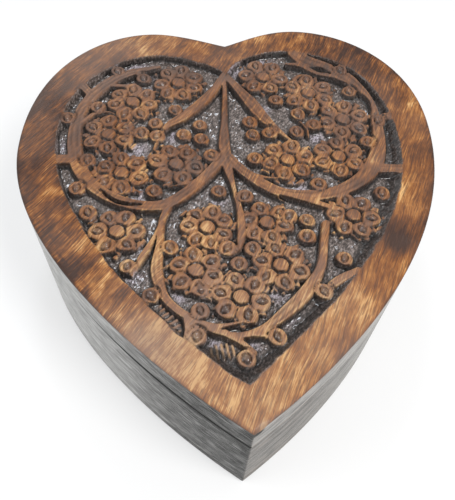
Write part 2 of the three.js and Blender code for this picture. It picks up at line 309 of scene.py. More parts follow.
def makeTopWood(finish):
    material, wire, shader = newMaterial("varnishedCarvedWood")
    place = wire.node("ShaderNodeTexCoord", output=3)
    bent = place.pushed(0.018, 0.0028)
    toRight = place.axis("X").between(-0.034, 0.006)

    def grain(size, detail):
        # streaks of one size, which run a little steeper on the right half
        left = bent.stretched(size, finish["grainLeft"]).noise(detail)
        right = bent.stretched(size, finish["grainRight"]).noise(detail)
        return left + toRight * (right - left) - 0.5

    streaks, fine = grain(finish["fibre"], 3), grain(finish["fineFibre"], 2)
    dashes, scores = grain(finish["dashes"], 1), grain(finish["scores"], 1)
    clouds = bent.stretched(finish["clouds"], finish["grainRight"]).noise(3, 0.65) - 0.5
    tone, greyingAndHaze, calm = wire.attribute("tone"), wire.attribute("greyingAndHaze"), wire.attribute("calm")
    light = 0.465 + (streaks * 1.05 + fine * 1.05 + clouds * 1.4) * (1 - calm) + tone * 0.25
    wood = light.ramp(finish["woods"])
    dark = wire.maths("MAXIMUM", (dashes + calm * 0.12).between(0.09, 0.17), scores.between(0.1, 0.18))
    wood = (dark * 0.5).blend(wood, rgba(*finish["dash"]))
    # greying: partly the wood's own greyed colour, partly painted haze of reflection
    wood = greyingAndHaze.blend(wood, rgba(*finish["greyBrown"]))
    grit = place.stretched((0.0009, 0.0005, 0.0009), finish["grainRight"]).noise(4, 0.65)
    # painted reflection: the listed ground patches are painted pale blue-grey where the window's sheen lies
    paintedShine = wire.attribute("paintedSheen") * grit.between(0.38, 0.6)
    ground = (paintedShine * 0.85).blend(grit.ramp(finish["ground"]), rgba(*finish["paintedShine"]))
    stain = wire.attribute("stain")
    colour = stain.blend(wood, ground)
    # creases and hollows take the near-black colour: dark varnish gathered there, and painted shade and
    # shadow
    colour = (wire.attribute("cavityDirtAndShade") * 0.94).blend(colour, grit.ramp(finish["creviceDirtAndShade"]))
    bead = wire.attribute("bead")
    colour = (bead * 0.8).blend(colour, rgba(*finish["bead"]))
    connect(colour, shader, "Base Color")
    connect(finish["roughness"] + streaks * 0.3 - stain * 0.06 - bead * 0.12, shader, "Roughness")
    relief = fine * 0.00012 + streaks * 0.00012 - dashes * 0.00008 + stain * grit * 0.001
    connect(wire.node("ShaderNodeBump", {}, {"Height": relief, "Distance": 1.0}), shader, "Normal")
    connect(wire.maths("MAXIMUM", stain * 0.85, bead), shader, "Coat Weight")
    shader.inputs["Coat Roughness"].default_value = 0.1
    shader.inputs["Specular IOR Level"].default_value = 0.3
    return material


sideFinish = {
    "line": (0.03, 0.03, 0.0007), "fineLine": (0.012, 0.012, 0.00035),
    "band": (0.05, 0.05, 0.0032), "blotch": (0.006, 0.006, 0.0022), "crack": (0.005, 0.005, 0.0007),
    "woods": [(0.12, (0.07, 0.069, 0.066)), (0.5, (0.28, 0.275, 0.265)), (0.85, (0.54, 0.535, 0.52))],
    "warm": (0.25, 0.205, 0.17), "dirtAndShade": (0.012, 0.011, 0.01),
    "chip": (0.0019, -0.0715, 0.0491),  # the middle of the painted shadow under the broken corner
    "roughness": 0.55,
}


def makeSideWood(name, finish, shade=0.0):
    material, wire, shader = newMaterial(name)
    place = wire.node("ShaderNodeTexCoord", output=3)
    bent = place.pushed(0.035, 0.007)
    lines = bent.stretched(finish["line"]).noise(3) - 0.5
    fineLines = bent.stretched(finish["fineLine"]).noise(2) - 0.5
    bands = bent.stretched(finish["band"]).noise(2) - 0.5
    blotches = place.stretched(finish["blotch"]).noise(5, 0.7) - 0.5
    x, y, z = (place.axis(name) for name in "XYZ")
    nearPoint = (y * -1).between(0.034, 0.07)
    leftSide = (x * -1).between(-0.0011, -0.0003) * (1 - y.between(0.012, 0.05))
    streaked = (lines * 0.75 + fineLines * 1.1 + bands * 0.45) * (1 - leftSide * 0.45)
    light = 0.54 + streaked + blotches * 1.2 - shade
    # painted shade and light: the sides are darker towards the point, lighter away from it, and the lid's
    # side on the right is lighter, for how the windows fall on them
    light = light - nearPoint * (leftSide * 0.22 + 0.18)
    light = light + (1 - leftSide) * (y.between(-0.06, -0.02) * 0.16 - 0.04)
    light = light + z.between(0.0388, 0.0396) * (1 - leftSide) * 0.2
    light = light + leftSide * (y.between(-0.04, 0.02) * 0.18 + 0.03)
    wood = light.ramp(finish["woods"])
    warmth = ((blotches + bands).between(-0.05, 0.3) * 0.5 + 0.14) * (1 - leftSide)
    wood = warmth.blend(wood, rgba(*finish["warm"]))
    cracks = bent.stretched(finish["crack"]).noise(2).between(0.53, 0.57) * nearPoint * leftSide
    # the joint under the lid is painted dark, as dirt and painted shade in the gap, open on the left and
    # tight on the right
    slit = 0.0002 + leftSide * (y * -1).between(0.03, 0.056) * 0.0009
    fromJoint = wire.maths("ABSOLUTE", z - (levels["lidBottom"] + levels["boxTop"]) / 2 * mm)
    joint = 1 - wire.maths("DIVIDE", fromJoint, slit).between(0.85, 1.2)
    # the side's upper edge is darker, most on the left; its lower edge on the left is painted dark as
    # painted contact shadow, and the wood under the broken corner as painted shadow
    edge = z.between(0.0499, 0.0504) * (leftSide * 0.6 + 0.15)
    edge = wire.maths("MAXIMUM", edge, (1 - z.between(0.0003, 0.0012)) * leftSide * 0.8)
    fromChip = wire.node("ShaderNodeVectorMath", {"operation": "DISTANCE"},
                         {0: place, 1: finish["chip"]}, output=1)
    edgeStainAndShade = wire.maths("MAXIMUM", edge, (1 - fromChip.between(0.0009, 0.0026)) * 0.95)
    dirtAndShade = wire.maths("MAXIMUM", wire.maths("MAXIMUM", cracks * 0.8, joint), edgeStainAndShade)
    colour = dirtAndShade.blend(wood, rgba(*finish["dirtAndShade"]))
    connect(colour, shader, "Base Color")
    connect(finish["roughness"] + blotches * 0.3, shader, "Roughness")
    relief = lines * 0.00018 + fineLines * 0.0001 + blotches * 0.00012 - cracks * 0.0003
    connect(wire.node("ShaderNodeBump", {}, {"Height": relief, "Distance": 1.0}), shader, "Normal")
    shader.inputs["Specular IOR Level"].default_value = 0.2
    return material


topWood = makeTopWood(topFinish)
sideWood = makeSideWood("greyedSideWood", sideFinish)
boardWood = makeSideWood("greyedBoardWood", sideFinish, 0.05)

print("stage: modelling helpers")


def onlyThis(thing):
    bpy.ops.object.select_all(action="DESELECT")
    thing.select_set(True)
    bpy.context.view_layer.objects.active = thing


def emptyPiece(name):
    bpy.ops.object.select_all(action="DESELECT")
    bpy.ops.mesh.primitive_plane_add(size=mm)
    piece = bpy.context.object
    piece.name = piece.data.name = name
    bpy.ops.object.mode_set(mode="EDIT")
    bpy.ops.mesh.select_all(action="SELECT")
    bpy.ops.mesh.delete(type="VERT")
    return piece  # left open in edit mode


def addRing(ring, z):
    # a loop of edges through the ring's points, left selected
    bpy.ops.mesh.select_all(action="DESELECT")
    bpy.ops.mesh.primitive_circle_add(vertices=len(ring), radius=mm)
    shape = bmesh.from_edit_mesh(bpy.context.object.data)
    fresh = [vert for vert in shape.verts if vert.select]
    for vert, (x, y) in zip(fresh, ring):
        vert.co = (x * mm, y * mm, z * mm)
    bmesh.update_edit_mesh(bpy.context.object.data)


def wornProfile(low, high, lowRound, highRound, steps=3):
    # pairs of inset and height up a side whose two corners are worn round
    turns = [k / steps * pi / 2 for k in range(steps + 1)]
    below = [(lowRound * (1 - sin(turn)), low + lowRound * (1 - cos(turn))) for turn in turns]
    above = [(highRound * (1 - cos(turn)), high - highRound * (1 - sin(turn))) for turn in turns]
    return below + above


def drawSide(ring, profile, reach=65):
    # a ring carried up through its profile; each loop is drawn in towards the heart's middle by its inset
    centre = Vector((levels["shift"], 0))
    shares = [1 - inset / reach for inset, z in profile]
    first = [centre + (Vector(place) - centre) * shares[0] for place in ring]
    addRing([(place.x, place.y) for place in first], profile[0][1])
    for (inset, z), share, previous in zip(profile[1:], shares[1:], shares):
        bpy.ops.mesh.extrude_edges_move()
        shape = bmesh.from_edit_mesh(bpy.context.object.data)
        for vert in shape.verts:
            if vert.select:
                flat = centre * mm + (vert.co.xy - centre * mm) * share / previous
                vert.co = (flat.x, flat.y, z * mm)
        bmesh.update_edit_mesh(bpy.context.object.data)


def closeFlat(z):
    # faces between all the loops that lie level at this height
    bpy.ops.mesh.select_mode(type="EDGE")
    bpy.ops.mesh.select_all(action="DESELECT")
    shape = bmesh.from_edit_mesh(bpy.context.object.data)
    for edge in shape.edges:
        if all(abs(vert.co.z / mm - z) < 0.01 for vert in edge.verts):
            edge.select_set(True)
    bmesh.update_edit_mesh(bpy.context.object.data)
    bpy.ops.mesh.fill(use_beauty=True)


def leaveEditing(piece, angle):
    bpy.ops.mesh.select_all(action="SELECT")
    bpy.ops.mesh.normals_make_consistent(inside=False)
    bpy.ops.object.mode_set(mode="OBJECT")
    onlyThis(piece)
    bpy.ops.object.shade_smooth_by_angle(angle=radians(angle))


print("stage: box wall and base board")

boxShape = {"ringGap": 0.8, "wall": 8.5, "topRound": 0.3, "seamRound": 0.3, "baseRound": 1.25}


def makeBoxWall(sizes):
    low, high = levels["seam"], levels["boxTop"]
    piece = emptyPiece("boxWall")
    drawSide(heartRing(boxOutline, sizes["ringGap"]),
             wornProfile(low, high, sizes["seamRound"], sizes["topRound"]))
    drawSide(innerRing(boxOutline, sizes["ringGap"], sizes["wall"]), [(0, low), (0, high)])
    closeFlat(low)
    closeFlat(high)
    leaveEditing(piece, 35)
    piece.data.materials.append(sideWood)
    return piece


def makeBaseBoard(sizes):
    piece = emptyPiece("baseBoard")
    drawSide(heartRing(boxOutline, sizes["ringGap"]),
             wornProfile(0, levels["seam"], sizes["baseRound"], sizes["seamRound"]))
    closeFlat(0)
    closeFlat(levels["seam"])
    leaveEditing(piece, 35)
    piece.data.materials.append(boardWood)
    return piece


boxWall = makeBoxWall(boxShape)
baseBoard = makeBaseBoard(boxShape)

print("stage: carving")

carving = {
    "step": 0.25,  # distance between the carved surface's points
    "keep": 0.42,  # share of its triangles kept, the most where it is least flat
    "depth": 2.75,
    "seed": 7,
}

# flowers: x, y, petal ring's radius, petals, turn in degrees
flowers = [
    (-16.5, 46.7, 5.8, 7, 80), (-31.5, 38, 5.6, 7, 40), (-38.6, 23.8, 5.7, 6, 90), (-34, 8, 5.6, 6, 95),
    (-17.5, 11, 5.7, 6, 48), (12.4, 49.3, 5.7, 6, 110), (27.2, 41.3, 6, 6, 90), (37, 28.8, 5.9, 6, 75),
    (33.1, 13, 5.6, 6, 85), (17, 12, 5.7, 6, 15), (-34.4, -13.5, 5.3, 6, 120), (-8.8, -12.7, 5.2, 7, 125),
    (-12.4, -27, 5.1, 6, 96), (8.4, -11.6, 5.1, 6, 105), (11, -26, 5.4, 6, 100), (-0.6, -35.6, 5.4, 6, 103),
    (34, -9.8, 5.3, 6, 110),
]
berries = [
    (-28.2, 49.2), (-17.6, 34.3), (-42.7, 36), (-37, 53), (-52, 31.2), (-28.4, 24.2), (-24, 28.2),
    (-23.4, 22.8),
    (-44.4, 13.4), (-6.6, 14.3), (-24.2, 0.8), (-46.8, 2.4), (-9.8, 27.3), (-15, 23.2), (-9.5, 21.3),
    (6.3, 28.3),
    (6.9, 22.6), (12.3, 23.4), (21.2, 23.8), (27, 26.8), (22.4, 31.6), (41, 41.8), (43.4, 19), (39.6, 52.4),
    (48.6, 28.2), (6.8, 12.8), (25.4, 2.2), (15.8, 38.2), (-43, -6.6), (-31, -25), (-5, 0.3), (-3.4, -20),
    (-19.5, -19.2), (-0.5, -25.1), (-11.6, -39.2), (3.6, -20.4), (19.5, -16.6), (20.2, -11), (15.1, -9.4),
    (44, -1.8), (29, -24.4), (21.8, -34.6), (8, -47.4), (-0.4, -53), (-12.6, -46.4), (-24.5, -34.2),
    (2.8, -1.8),
]
# stems: x, y, width at each bend
stems = {
    "centre": [(-0.9, 50, 1.6), (-1.2, 40, 1.9), (-1.9, 28, 2.4), (-2.4, 17, 4), (-1.8, 9, 3.2),
               (-0.4, 1, 1.7),
               (0.8, -7, 2.2), (0.9, -14, 2.6), (-0.2, -19.8, 2), (-2.6, -22.4, 1)],
    "upperLeft": [(-1, 50, 2.6), (-5.4, 42, 3.2), (-10.4, 35.6, 3.8), (-16, 30, 3.6), (-21.4, 25.4, 2.2),
                  (-24.4, 17, 0.9)],
    "upperRight": [(-0.4, 50, 2.6), (4, 42.4, 3.6), (7.5, 36.4, 4.8), (10.4, 30.6, 4.6), (14.4, 25, 2.6),
                   (19, 19.6, 1)],
    "leftLoop": [(-2.6, 14, 3.4), (-7.4, 7.4, 3.6), (-14, 0.2, 3.8), (-21, -4.6, 4), (-28, -4.8, 4),
                 (-35.4, -2.2, 4.2),
                 (-42, 2.8, 4.4), (-46.8, 10.6, 5), (-49, 21, 4.8), (-48.4, 32, 4), (-44, 42, 4.2),
                 (-36, 50, 4),
                 (-23, 54.6, 1.6)],
    "rightLoop": [(-1.8, 14, 3.4), (2.4, 8, 3.6), (8, 2.6, 4), (14, -1.2, 4), (22, -2.4, 4.4),
                  (30, -1.2, 4.4),
                  (37.6, 2.8, 5), (43.4, 9, 5.6), (46.6, 17, 4.8), (47.8, 27, 3.6), (47.4, 36, 3),
                  (44.6, 42.6, 4.4),
                  (40, 49, 6), (34, 53.6, 5.6), (27.5, 57.4, 6), (25, 61, 6)],
    "lowerLeft": [(-19, -3.6, 2.4), (-21.6, -10, 2.2), (-22.2, -18, 2.4), (-23, -27, 3.6),
                  (-20.8, -35, 2.8),
                  (-15.4, -40.6, 2.6), (-8.4, -43.8, 1.9), (0.4, -42.8, 0.9)],
    "lowerLeftLeaf": [(-21, -7.4, 0.9), (-24, -16, 1.4), (-27.2, -22.6, 2.2), (-30, -27.6, 1)],
    "lowerRight": [(-14, -42, 3), (-8, -45.2, 2.2), (-2, -46.8, 2.2), (4.4, -45.2, 2.6), (11, -40.4, 3.8),
                   (17, -34.6, 4), (22, -27, 2.8), (24, -19, 2.6), (25.4, -12.6, 2.6)],
    "flowerStalk": [(11.6, -0.4, 1.6), (17, -3, 2.2), (23, -5, 2.4), (29, -7.4, 2)],
    "pointCurl": [(-5.4, -46, 2.4), (-1.8, -48.4, 2), (1.6, -51.4, 1.8)],
    "pointStalk": [(0, -46.6, 2), (4.4, -46.8, 1.9), (8, -48, 1.6)],
    "lowerLeftTie": [(-15, -40.6, 2.6), (-14.4, -45, 3), (-14.8, -51, 4)],
    "lowerBerryTie": [(-24.5, -34.2, 2.4), (-27, -37.4, 2.6)],
    "leftTie": [(-48, 13.4, 4), (-56, 13.4, 4)],
    "leftUpperTie": [(-48.6, 31.4, 3.2), (-57, 31.8, 3.4)],
    "leftTopTie": [(-45, 41, 3), (-50, 48, 3.4)],
    "rightTie": [(45, 7.6, 4), (54, 7, 3.4)],
    "rightUpperTie": [(47.6, 29, 3.2), (55, 30, 3.6)],
    "rightTopTie": [(39, 48, 3), (41.4, 57, 3.2)],
    "topRightLeaf": [(21, 55.6, 1.2), (26, 54.6, 2.4), (31, 50.6, 2), (37, 48.6, 1.8), (42.6, 44.4, 1.4)],
    "nodeLeafLeft": [(-3, 12.6, 1.6), (-6.4, 8.6, 1.6), (-12.6, 3.8, 1.4), (-19.6, 2.2, 0.8)],
    "nodeLeafRight": [(-1.6, 13, 1.6), (3.6, 7.6, 1.8), (8.6, 5.2, 1.4), (13.6, 4.6, 0.8)],
    "leftSepal": [(-49, 24, 1), (-46.6, 29.6, 1.8), (-42.6, 33.2, 1.6), (-38.4, 33.4, 0.8)],
    "upperLeftSepal": [(-45, 44, 1), (-40.4, 45.6, 2), (-35.4, 45.4, 1.8), (-30.6, 46, 0.8)],
    "middleLeftSepal": [(-33, 30.6, 0.9), (-31.6, 27, 1.8), (-31.6, 22, 1.6), (-33.6, 17.6, 0.8)],
    "rightSepal": [(24.6, 21.6, 0.9), (24.4, 25, 1.4), (22.6, 28, 1)],
    "lowerSepal": [(16.4, -19.6, 0.8), (14.4, -20.8, 1.6), (12.4, -19.6, 0.9)],
    "lowerLeftSepal": [(-14.6, -34, 0.8), (-12, -32.6, 1.6), (-8, -33.4, 0.9)],
    "lowerRightLeaf": [(21.8, -34.6, 2.6), (26.6, -31.2, 2.8), (32, -28.4, 2)],
}
# narrow slits cut down through the wood: x, y, width at each bend
slits = {
    "topRightUpper": [(29.4, 53.4, 0.5), (32.6, 52.4, 1.5), (35.8, 50.4, 0.5)],
    "topRightLower": [(30, 47.6, 0.6), (35, 47.2, 1.4), (40.4, 45, 0.8)],
    "innerRight": [(43.8, 41, 0.6), (46, 36.6, 1.5), (46.4, 30, 0.6)],
    "leftLoopLower": [(-40, 1.4, 0.5), (-34.6, -3.4, 0.9), (-27.6, -4.6, 0.4)],
    "rightLoopUpper": [(13, -2.4, 0.5), (18.6, -4.8, 1), (26, -7.6, 0.5)],
}
# ground that lies bare to the window, painted pale and bluish as a painted reflection of it: x, y, reach
paintedSheens = [
    (-18, 24, 2.8), (-30, 18.5, 3.6), (-27, 44.5, 2.4), (-26, 52, 2.6), (-38, 57.5, 4), (-31, 59, 4),
    (-28, 1.5, 3),
    (-13, 3.5, 3.4), (-4.5, -2, 2.2), (11.5, 3.5, 3), (20, 2, 3), (28, 22.5, 2.5), (15, 23.5, 1.6),
    (12, 35, 2),
    (-27.5, -18, 2), (-28.5, -28, 2), (-16, -34, 2), (10, -34, 2.5), (13, -41, 2.5), (-8, -48, 2.5),
    (2, -49, 2),
    (3, -12, 2), (-35, 46.5, 2.5), (30, -29, 2), (-43, 10, 2), (3, 54, 3.4), (36, -2, 2), (12, 57.6, 4),
    (-50, 20, 3),
]
relief = {
    "shoulder": 0.5,  # width of a figure's steep edge
    "petalRadius": 2.9, "petalTop": 2.3,
    "eyeRadius": 2.15, "eyeTop": 2.5, "eyeGroove": (0.36, 0.9),  # half width and depth
    "berryRadius": 2.6, "berryTop": 2.25,
    "stemTop": 2.6,
    "petalBead": (1.65, 1.15), "berryBead": (1.65, 1.2),  # half length and width of the bead in the middle
    "beadGroove": 0.8, "beadRise": 0.5,
    "petalSlip": 0.25,  # how far out from a petal's middle its bead lies
    "leafTip": (2.3, 1.15), "leafTop": 1.45,
}
# rows of gouge marks left across the ground: middle, way they follow in degrees, half length and width, gap
ladders = [(-19.5, -40.6, -58, 6, 2.1, 1.5), (-6.2, -50.6, 8, 4.8, 3, 1.4)]
# small wounds in the rim: x, y, way in degrees, half length, half width, depth
nicks = [
    (54.2, 1, 2, 3.2, 0.28, 0.35), (55.6, -8.8, 20, 0.9, 0.45, 0.5), (20.4, -53.6, -70, 2.2, 0.25, 0.3),
    (-26.6, -49, 60, 1.2, 0.4, 0.4), (46.4, -20.6, 40, 1.4, 0.3, 0.25),
]
# patches of the wood: x, y, reach, how much lighter, how much greyer; those on the lower rim and the point
# are partly the wood's own colour and partly painted haze of reflection
patches = [
    (32, -46, 27, 0.8, 0.22), (2, -67, 15, 1.2, 0.3), (-26, -52, 16, 1.55, 0.65), (-40, 64, 22, 0.05, 0.4),
    (42, 62, 20, -1.2, 0.02), (46.6, -20, 4, -2.0, 0.1), (-50, -15, 4, -2.3, 0.1),
    (-44.5, -26, 3.6, -2.1, 0.05),
    (50, -7.5, 6, 1.0, 0.0), (-56, 38, 15, -0.85, 0.1),
    (27, 66, 6, 1.9, -0.1), (-22.6, -42.8, 2.2, 2.2, 0.0), (-58, 10, 14, -0.6, 0.05),
    (60, 18, 16, -0.35, 0.0),
    (23, 58, 3, 1.1, 0.0), (0, 60, 12, 0.1, 0.2), (34, 28, 16, 0.8, 0.08), (-1, 12, 7, -0.8, 0.1),
    (0, -32, 20, 0.1, 0.12), (3.4, -70.7, 1.2, 3.0, 0.9),
]

step = carving["step"]
gridX = np.arange(-65.5, 65.5 + step, step)
gridY = np.arange(-72.75, 72.75 + step, step)
gridShape = (len(gridY), len(gridX))
randomness = np.random.default_rng(carving["seed"])


def around(x, y, reach):
    # the grid's points within reach of a place, and how far they lie from it
    firstX, lastX = np.searchsorted(gridX, (x - reach, x + reach))
    firstY, lastY = np.searchsorted(gridY, (y - reach, y + reach))
    spot = (slice(firstY, lastY), slice(firstX, lastX))
    return spot, gridX[None, spot[1]] - x, gridY[spot[0], None] - y


def distanceTo(path, reach):
    # distance from each grid point to the nearest of a path's close-set points, and that point's width
    distance = np.full(gridShape, float(reach))
    width = np.zeros(gridShape)
    for x, y, pointWidth in path:
        spot, dx, dy = around(x, y, reach)
        here = np.hypot(dx, dy)
        nearer = here < distance[spot]
        distance[spot] = np.where(nearer, here, distance[spot])
        width[spot] = np.where(nearer, pointWidth, width[spot])
    return distance, width


def insideOf(ring):
    inside = np.zeros(gridShape, bool)
    ends = np.roll(ring, -1, axis=0)
    for row, y in enumerate(gridY):
        crossed = (ring[:, 1] > y) != (ends[:, 1] > y)
        a, b = ring[crossed], ends[crossed]
        for x in a[:, 0] + (y - a[:, 1]) / (b[:, 1] - a[:, 1]) * (b[:, 0] - a[:, 0]):
            inside[row] ^= gridX > x
    return inside


def depthInside(ring, reach):
    # how far inside a ring each grid point lies, and less than 0 outside
    closed = evenly(np.vstack([ring, ring[:1]]), 0.12)
    distance = distanceTo(np.c_[closed, np.zeros(len(closed))], reach)[0]
    return np.where(insideOf(ring), distance, -distance)


def ease(value):
    value = np.clip(value, 0, 1)
    return value * value * (3 - 2 * value)


def unevenness(size, seed, across=None, turn=0.0):
    # smooth humps and hollows from -1 to 1, about size apart along the turned x and across apart along y
    lattice = np.random.default_rng(seed).uniform(-1, 1, (128, 128))
    along = (gridX[None] * cos(turn) + gridY[:, None] * sin(turn)) / size + 500
    over = (gridY[:, None] * cos(turn) - gridX[None] * sin(turn)) / (across or size) + 500
    i, j = np.floor(along).astype(int), np.floor(over).astype(int)
    u, v = ease(along - i), ease(over - j)
    i, j = i % 128, j % 128
    k, m = (i + 1) % 128, (j + 1) % 128
    low = lattice[i, j] * (1 - u) + lattice[k, j] * u
    high = lattice[i, m] * (1 - u) + lattice[k, m] * u
    return low * (1 - v) + high * v


def softened(values, weights):
    # each value shared out among its neighbours, first down the columns and then along the rows
    weights = np.array(weights) / sum(weights)
    half = len(weights) // 2
    for _ in range(2):
        padded = np.pad(values, ((half, half), (0, 0)), "edge")
        values = sum(w * padded[i:i + len(values)] for i, w in enumerate(weights)).T
    return values


def smoothPath(places, gap=0.2):
    # a curve through the places that leaves each one towards its neighbours
    points = np.array(places, float)
    points = np.vstack([2 * points[0] - points[1], points, 2 * points[-1] - points[-2]])
    pieces = []
    for p0, p1, p2, p3 in zip(points, points[1:], points[2:], points[3:]):
        t0 = 0.0
        t1 = t0 + np.linalg.norm(p1 - p0) ** 0.5
        t2 = t1 + np.linalg.norm(p2 - p1) ** 0.5
        t3 = t2 + np.linalg.norm(p3 - p2) ** 0.5
        t = np.linspace(t1, t2, 24)[:, None]
        a1 = (t1 - t) / (t1 - t0) * p0 + (t - t0) / (t1 - t0) * p1
        a2 = (t2 - t) / (t2 - t1) * p1 + (t - t1) / (t2 - t1) * p2
        a3 = (t3 - t) / (t3 - t2) * p2 + (t - t2) / (t3 - t2) * p3
        b1 = (t2 - t) / (t2 - t0) * a1 + (t - t0) / (t2 - t0) * a2
        b2 = (t3 - t) / (t3 - t1) * a2 + (t - t1) / (t3 - t1) * a3
        pieces.append((t2 - t) / (t2 - t1) * b1 + (t - t1) / (t2 - t1) * b2)
    path = evenly(np.vstack(pieces), gap)
    path[:, 0] += levels["shift"]
    return path


def standing(inward):
    # from 0 outside a figure's outline to 1 on top of it, up its steep edge
    return ease(inward / relief["shoulder"] + 0.5)


def gouge(dx, dy, turn, cut):
    # depth of a pointed cut made by two strokes that meet along its middle
    halfLength, halfWidth, depth = cut
    along = dx * cos(turn) + dy * sin(turn)
    over = dy * cos(turn) - dx * sin(turn)
    taper = np.clip(1 - (along / halfLength) ** 2, 0, 1)
    return depth * np.clip(taper - np.abs(over) / halfWidth, 0, 1) ** 0.65


def leafTip(dx, dy, turn):
    # the end of a leaf that lies under the petals
    along, over = dx * cos(turn) + dy * sin(turn), dy * cos(turn) - dx * sin(turn)
    halfLength, halfWidth = relief["leafTip"]
    inward = halfWidth * (1 - (along / halfLength) ** 2) - np.abs(over)
    return (relief["leafTop"] + 0.25 * np.abs(over)) * standing(inward)


def carveBead(raised, dx, dy, turn, size):
    # an oval bead sunk into a petal or a berry, with a groove round it; returns the bead's own area
    along, over = dx * cos(turn) + dy * sin(turn), dy * cos(turn) - dx * sin(turn)
    grow = randomness.uniform(0.85, 1.12)
    longer = np.abs(along / (size[0] * grow))
    wider = np.abs(over / (size[1] * grow * randomness.uniform(0.85, 1.1)))
    out = (longer ** 1.5 + wider ** 1.5) ** (1 / 1.5)
    raised -= relief["beadGroove"] * np.clip(1 - np.abs(out - 1) / 0.3, 0, 1)
    raised += np.where(out < 1, relief["beadRise"] * np.sqrt(np.clip(1 - out * out, 0, 1)) - 0.25, 0)
    return ease((1.12 - out) / 0.3) * randomness.uniform(0.5, 1)


def carveSlits(heights):
    for places in slits.values():
        distance, width = distanceTo(smoothPath(places), 4.5)
        np.minimum(heights, relief["stemTop"] * (1 - standing(width / 2 - distance)), out=heights)


def carveStems(heights):
    # returns the scored lines that run along the stems
    lines, broken = np.zeros(gridShape), ease(unevenness(4, 61) * 1.5 + 0.6)
    for places in stems.values():
        distance, width = distanceTo(smoothPath(places), 4.5)
        half = np.maximum(width / 2, 0.35)
        share = np.clip(distance / half, 0, 1)
        groove = 0.3 * np.clip(1 - np.abs(share - 0.4) / 0.28, 0, 1) * ease((half - 0.9) / 0.7)
        top = relief["stemTop"] * np.minimum(1, 0.7 + 0.25 * half) - 0.22 * share ** 2 - groove
        np.maximum(heights, top * standing(half - distance) * (distance < 4.4), out=heights)
        scored = np.clip(1 - np.abs(share - 0.4) / 0.2, 0, 1) * ease((half - 1.1) / 0.6) * (distance < half)
        np.maximum(lines, scored * broken, out=lines)
    return lines


def carveFlower(heights, beads, scraps, flower):
    x, y, ring, petals, turn = flower
    x += levels["shift"]
    spot, dx, dy = around(x, y, ring + 4.6)
    flat = np.hypot(dx, dy)
    raised = relief["petalTop"] * 0.85 * standing(ring - 0.7 - flat)
    raised = np.maximum(raised, scraps[spot] * ease((ring + 4.6 - flat) / 1.2))
    dark = np.zeros(flat.shape)
    for k in range(petals):
        leafWay = radians(turn + 360 * (k + 0.5) / petals + randomness.uniform(-9, 9))
        leafEnd = ring + randomness.uniform(0.2, 1.2)
        tip = leafTip(dx - leafEnd * cos(leafWay), dy - leafEnd * sin(leafWay), leafWay)
        raised = np.maximum(raised, tip)
    for k in range(petals):
        angle = radians(turn + 360 * k / petals + randomness.uniform(-4, 4))
        reach = ring + randomness.uniform(-0.25, 0.2)
        radius = relief["petalRadius"] + randomness.uniform(-0.12, 0.16)
        px, py = dx - reach * cos(angle), dy - reach * sin(angle)
        uneven = 0.13 * np.cos(3 * np.arctan2(py, px) + randomness.uniform(0, 6))
        inward = radius + uneven - np.hypot(px, py)
        tilt = randomness.uniform(-0.11, 0.11, 2)
        lobe = relief["petalTop"] - 0.35 * ease(1 - inward / 1.2) + tilt[0] * px + tilt[1] * py
        raised -= 0.65 * np.clip(1 - np.abs(inward + 0.15) / 0.3, 0, 1)
        raised = np.maximum(raised, lobe * standing(inward))
        slip = relief["petalSlip"]
        bead = carveBead(raised, px - slip * cos(angle), py - slip * sin(angle),
                         angle + randomness.uniform(-0.3, 0.3), relief["petalBead"])
        dark = np.maximum(dark, bead)
    eye, (grooveHalf, grooveDepth) = relief["eyeRadius"], relief["eyeGroove"]
    groove = np.clip(1 - np.abs(flat - eye - grooveHalf) / grooveHalf, 0, 1)
    button = relief["eyeTop"] - 0.3 * (flat / eye) ** 2
    raised = np.where(flat < eye, button, raised - grooveDepth * groove)
    uppermost = raised > heights[spot]
    dark = np.maximum(dark * (flat > eye + grooveHalf), 0.9 * ease(groove * 1.4))
    beads[spot] = np.where(uppermost, dark, beads[spot])
    heights[spot] = np.where(uppermost, raised, heights[spot])


def carveBerry(heights, beads, x, y):
    x += levels["shift"]
    spot, dx, dy = around(x, y, 4)
    inward = relief["berryRadius"] + randomness.uniform(-0.15, 0.15) - np.hypot(dx, dy)
    tilt = randomness.uniform(-0.11, 0.11, 2)
    top = relief["berryTop"] - 0.35 * ease(1 - inward / 1.2) + tilt[0] * dx + tilt[1] * dy
    raised = top * standing(inward)
    dark = carveBead(raised, dx, dy, randomness.uniform(0.9, 2.2), relief["berryBead"])
    # a thin moat keeps the berry apart from what it touches
    moat = 0.9 * np.clip(1 - np.abs(inward + 0.25) / 0.3, 0, 1)
    near = inward > -0.55
    lowered = np.where(near, heights[spot] * (inward < 0) - moat, heights[spot])
    heights[spot] = np.maximum(lowered, raised)
    beads[spot] = np.where(near, dark * (inward > 0), beads[spot])


def scrapMap():
    # scraps of leaf and wood that were left standing between the flowers
    return 1.6 * ease((unevenness(1.9, 13, 1.3, 0.7) - 0.2) / 0.35)


